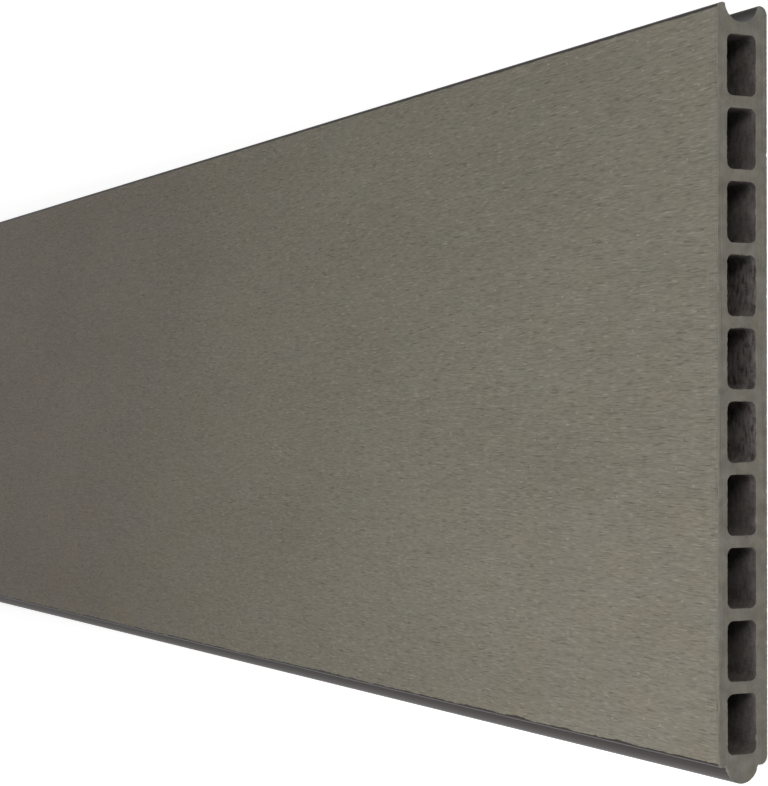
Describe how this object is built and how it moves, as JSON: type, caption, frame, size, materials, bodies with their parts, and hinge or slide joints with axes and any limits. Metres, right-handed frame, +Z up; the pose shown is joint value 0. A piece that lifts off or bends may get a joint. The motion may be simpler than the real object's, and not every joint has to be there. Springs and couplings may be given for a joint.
{
  "type": "composite fence board",
  "caption": "Hollow extruded composite fence board with a row of rounded core cells, a sanded front, and a half-round tongue and groove that stack board on board between posts.",
  "frame": {"origin": "centre of the underside of the bounding box, on the floor that the board lies on", "axes": "+X along the board towards the sawn end that the picture shows, +Y across it towards the grooved edge (tongue at -Y), +Z up out of the sanded front face"},
  "size_m": [1.8, 0.2558, 0.02],
  "materials": {
    "composite": "grey-brown wood-plastic composite; front face sanded matt with fine lengthwise scratches, other faces bare darker extruded skin, ends sawn"
  },
  "bodies": {
    "root": {"fence_board": "composite"}
  },
  "joints": []
}
